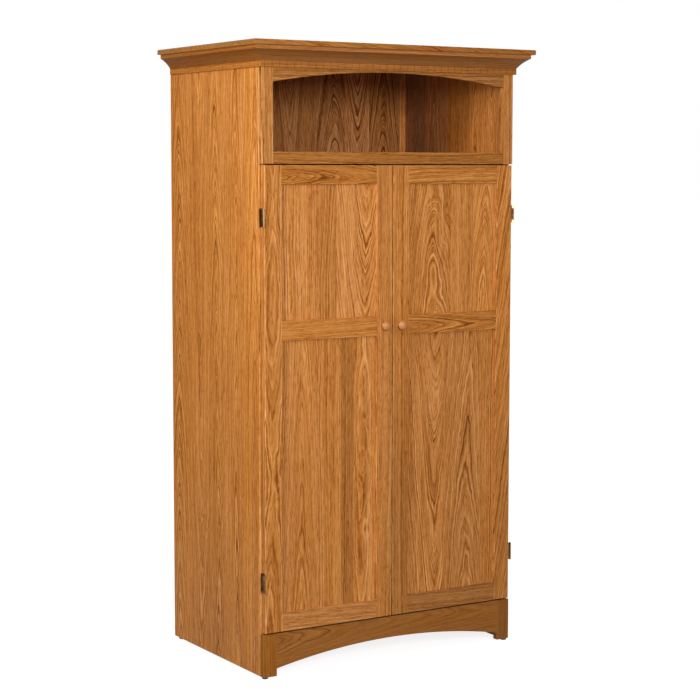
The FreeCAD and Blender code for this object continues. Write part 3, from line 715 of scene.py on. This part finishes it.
# A narrow darker strip runs along the left edge of the lower left panel.
oak(
    "door_lower_panel_left", "XYZ",
    plank((-0.62, PANEL_FACE + 0.06), ring=0.0068, tone=0.76, red=0.2,
          figure=(FAR_OFF, 0.5, 0.5)),
    plank((-0.312, PANEL_FACE + 0.030), climb=0.05, ring=0.0044, tone=1.00, red=0.1,
          start=-0.374, figure=(0.030, 0.3, 0.3)),
    plank((-0.52, PANEL_FACE + 0.06), ring=0.0060, tone=1.00, red=0.2,
          start=-0.255, figure=(FAR_OFF, 0.3, 0.3)),
    plank((-0.36, PANEL_FACE + 0.06), ring=0.0060, tone=0.79, red=0.3,
          start=-0.175, figure=(FAR_OFF, 0.2, 0.2)),
    plank((-0.097, PANEL_FACE + 0.070), climb=-0.01, ring=0.0046, tone=1.10,
          start=-0.132, figure=(0.012, 0.6, 0.25)),
    plank((-0.30, PANEL_FACE + 0.03), ring=0.0060, tone=1.12, red=0.1,
          start=-0.068, figure=(FAR_OFF, 0.4, 0.4)),
    swirls=[
        (-0.098, 0.770, 0.012, 0.050, 0.007),
        (-0.100, 0.600, 0.011, 0.080, 0.009),
        (-0.097, 0.400, 0.012, 0.070, 0.008),
    ],
    edges="",
)
oak(
    "door_upper_panel_right", "XYZ",
    plank((0.158, PANEL_FACE + 0.060), climb=0.16, ring=0.0036, tone=1.03, red=0.15,
          figure=(0.032, 0.72, 0.5)),
    plank((0.52, PANEL_FACE + 0.06), ring=0.0062, tone=1.04, red=0.05,
          start=0.212, figure=(FAR_OFF, 0.4, 0.4)),
    plank((0.331, PANEL_FACE + 0.050), climb=0.10, ring=0.0044, tone=1.15, red=0.05,
          start=0.292, figure=(0.026, 0.6, 0.5)),
    swirls=[
        (0.190, 1.340, 0.012, 0.030, 0.012),
        (0.150, 1.385, 0.020, 0.030, 0.008),
        (0.176, 1.250, 0.018, 0.040, 0.010),
        (0.145, 1.170, 0.020, 0.035, -0.008),
        (0.165, 1.090, 0.020, 0.030, 0.009),
    ],
    edges="", waver=1.6,
)
oak(
    "door_lower_panel_right", "XYZ",
    plank((0.149, PANEL_FACE + 0.056), climb=-0.10, ring=0.0046, tone=0.99,
          figure=(0.030, 1.0, 0.4)),
    plank((0.273, PANEL_FACE + 0.050), climb=0.09, ring=0.0044, tone=0.94,
          start=0.187, figure=(0.028, 0.65, 0.4)),
    plank((0.56, PANEL_FACE + 0.05), ring=0.0060, tone=0.97, red=0.1,
          start=0.322, figure=(FAR_OFF, 0.4, 0.4)),
    edges="", waver=1.4,
)


# ---------------------------------------------------------------- knobs
# Turned oak knobs, sanded smooth, each held by a screw from behind the stile. The lacquer is
# thicker here and shines more.
KNOB_GLOSS = 0.7
for side, heart_x in (("left", -0.07), ("right", -0.02)):
    knob = "door_knob_" + side
    oak(
        knob, "XYZ",
        plank((heart_x, -0.25), tone=1.00, red=0.45),
        edges="", bold=0.4, gloss=KNOB_GLOSS,
    )


# ---------------------------------------------------------------- hinges
# Two-inch barrel hinges of pressed steel in dark antique bronze, with painted highlights on the
# knuckles, and on the upper right one also at both ends. One leaf is screwed to the side of the
# case, the other to the edge of the door.
BRONZE = [(0.0, (0.040, 0.017, 0.005)), (0.6, (0.080, 0.038, 0.012)), (1.0, (0.15, 0.08, 0.03))]
# The colour of the painted highlights on the hinge barrels.
HIGHLIGHT_BRONZE = (0.86, 0.60, 0.36, 1.0)
BRONZE_SHEEN = (0.55, 0.34, 0.18, 1.0)
UPPER_HINGE_HEIGHT = 1.3325
HIGHLIGHT_ENDS = (0.016, 0.020)
antique = fitting_finish(
    "antique_bronze",
    ["hinge_case_leaves_left", "hinge_case_leaves_right", "hinge_door_leaves_left",
     "hinge_door_leaves_right", "hinge_pins"],
    BRONZE, rough=(0.24, 0.42), cells=160.0, depth=0.00001, metal=1.0,
)
bronze = antique.node_tree
leaf = bronze.nodes["Principled BSDF"].inputs
coordinates = bronze.nodes.new("ShaderNodeTexCoord").outputs
facing = node(bronze, "SeparateXYZ", {0: coordinates["Normal"]}).node.outputs
place = node(bronze, "SeparateXYZ", {0: coordinates["Object"]}).node.outputs

# A painted highlight on the front of each barrel, weakest on the lower left hinge.
to_the_front = maths(bronze, "MULTIPLY", within(bronze, facing["Y"], -0.6, -0.8),
                     within(bronze, facing["X"], -0.1, 0.15))
highlight_by_place = maths(bronze, "MULTIPLY_ADD", place["X"], 2.0, place["Z"])
highlight_by_place = within(bronze, highlight_by_place, -0.4, 0.2, 0.15, 1.0)
knuckle_highlight = maths(bronze, "MULTIPLY", to_the_front, highlight_by_place)

# The upper right hinge also gets painted highlights at both ends of its barrel.
off_middle = maths(bronze, "ABSOLUTE", maths(bronze, "SUBTRACT", place["Z"], UPPER_HINGE_HEIGHT))
upper_right = within(bronze, maths(bronze, "ADD", place["X"], place["Z"]), 1.6, 1.7)
end_highlight = maths(bronze, "MULTIPLY", within(bronze, off_middle, *HIGHLIGHT_ENDS), upper_right)
end_highlight = maths(bronze, "MULTIPLY", within(bronze, facing["Y"], -0.2, -0.5), end_highlight)

# The bright bronze is mixed in where the painted highlights lie.
painted_highlight = maths(bronze, "MAXIMUM", knuckle_highlight, end_highlight)
inlets = {0: painted_highlight, 6: leaf["Base Color"].links[0].from_socket, 7: HIGHLIGHT_BRONZE}
bronze.links.new(node(bronze, "Mix", inlets, 2, data_type="RGBA"), leaf["Base Color"])
leaf["Specular Tint"].default_value = BRONZE_SHEEN


# ---------------------------------------------------------------- screws
# Countersunk steel screws, bright zinc-plated. They hold the leaves of the hinges to case and
# doors, and the knobs and strike plates to the doors.
ZINC = [(0.0, (0.34, 0.33, 0.30)), (0.6, (0.50, 0.49, 0.46)), (1.0, (0.66, 0.65, 0.62))]
fitting_finish(
    "zinc_plate",
    ["hinge_case_screws", "door_screws_left", "door_screws_right"],
    ZINC, rough=(0.26, 0.45), cells=700.0, depth=0.00001, metal=1.0,
)


# ---------------------------------------------------------------- floor and studio
# A pale floor that runs out of sight and a white room. Where the camera, a reflection or a
# glass looks, both are white; the floor keeps the armoire's shadow.
def white_where_seen(tree, bounce, seen):
    """A value that differs between rays that look and rays that carry light."""
    path = tree.nodes.new("ShaderNodeLightPath").outputs
    looks = maths(tree, "MAXIMUM", path["Is Camera Ray"], path["Is Glossy Ray"])
    looks = maths(tree, "MAXIMUM", looks, path["Is Transmission Ray"])
    return maths(tree, "MULTIPLY_ADD", looks, seen - bounce, bounce)


FLOOR_REACH = 60.0
floor_mesh = bpy.data.meshes.new("floor")
corners = [
    (x * FLOOR_REACH, y * FLOOR_REACH, 0.0) for x, y in ((-1, -1), (1, -1), (1, 1), (-1, 1))
]
floor_mesh.from_pydata(corners, [], [(0, 1, 2, 3)])
floor = bpy.data.objects.new("floor", floor_mesh)
bpy.context.scene.collection.objects.link(floor)
paper = bpy.data.materials.new("floor_paper")
paper.use_nodes = True
paper.cycles.emission_sampling = "NONE"
sheet = paper.node_tree
surface = sheet.nodes["Principled BSDF"].inputs
surface["Roughness"].default_value = 1.0
surface["Specular IOR Level"].default_value = 0.0
level = white_where_seen(sheet, bounce=0.30, seen=0.62)
sheet.links.new(node(sheet, "CombineXYZ", {0: level, 1: level, 2: level}), surface["Base Color"])
surface["Emission Color"].default_value = (1.0, 1.0, 1.0, 1.0)
sheet.links.new(white_where_seen(sheet, bounce=0.0, seen=0.84), surface["Emission Strength"])
floor_mesh.materials.append(paper)

room = bpy.data.worlds.new("studio")
bpy.context.scene.world = room
room.use_nodes = True
sky = room.node_tree.nodes["Background"].inputs
sky["Color"].default_value = (1.0, 1.0, 1.0, 1.0)
sky_light = white_where_seen(room.node_tree, bounce=0.30, seen=1.0)
room.node_tree.links.new(sky_light, sky["Strength"])


# ---------------------------------------------------------------- lamps
# A tall soft box at the left, a large one high at the front and a small cool one near the floor,
# all turned to the armoire.
def soft_box(name, place, aim, width, height, watts, colour=(1.0, 1.0, 1.0)):
    lamp = bpy.data.lights.new(name, "AREA")
    lamp.shape, lamp.size, lamp.size_y, lamp.energy = "RECTANGLE", width, height, watts
    lamp.color = colour
    box = bpy.data.objects.new(name, lamp)
    box.location = place
    box.rotation_euler = (Vector(aim) - Vector(place)).to_track_quat("-Z", "Y").to_euler()
    bpy.context.scene.collection.objects.link(box)


COOL_WHITE = (0.55, 0.78, 1.0)
soft_box("left_soft_box", place=(-2.35, -0.95, 2.0), aim=(-0.44, 0.0, 1.5),
         width=0.5, height=0.8, watts=41.0)
soft_box("front_soft_box", place=(-1.25, -5.0, 2.2), aim=(0.0, -0.26, 1.1),
         width=2.0, height=1.0, watts=130.0)
soft_box("low_soft_box", place=(-2.4, -3.2, 0.35), aim=(-0.3, 0.0, 1.2),
         width=0.6, height=0.4, watts=10.0, colour=COOL_WHITE)


# ---------------------------------------------------------------- camera
# A long lens at the left of the front, at the height of the tops of the doors. It looks a
# little downwards, and its frame is shifted to keep the armoire in the middle.
EYE = (-2.9612, -4.8138, 1.4739)
HEADING, TILT, ROLL = -31.743, 84.795, 0.053
lens = bpy.data.cameras.new("camera")
lens.sensor_width, lens.lens, lens.shift_y = 36.0, 94.62, -0.0214
camera = bpy.data.objects.new("camera", lens)
camera.matrix_world = (
    Matrix.Translation(EYE)
    @ Matrix.Rotation(math.radians(HEADING), 4, "Z")
    @ Matrix.Rotation(math.radians(TILT), 4, "X")
    @ Matrix.Rotation(math.radians(ROLL), 4, "Z")
)
bpy.context.scene.collection.objects.link(camera)
bpy.context.scene.camera = camera
bpy.context.scene.view_settings.view_transform = "Standard"
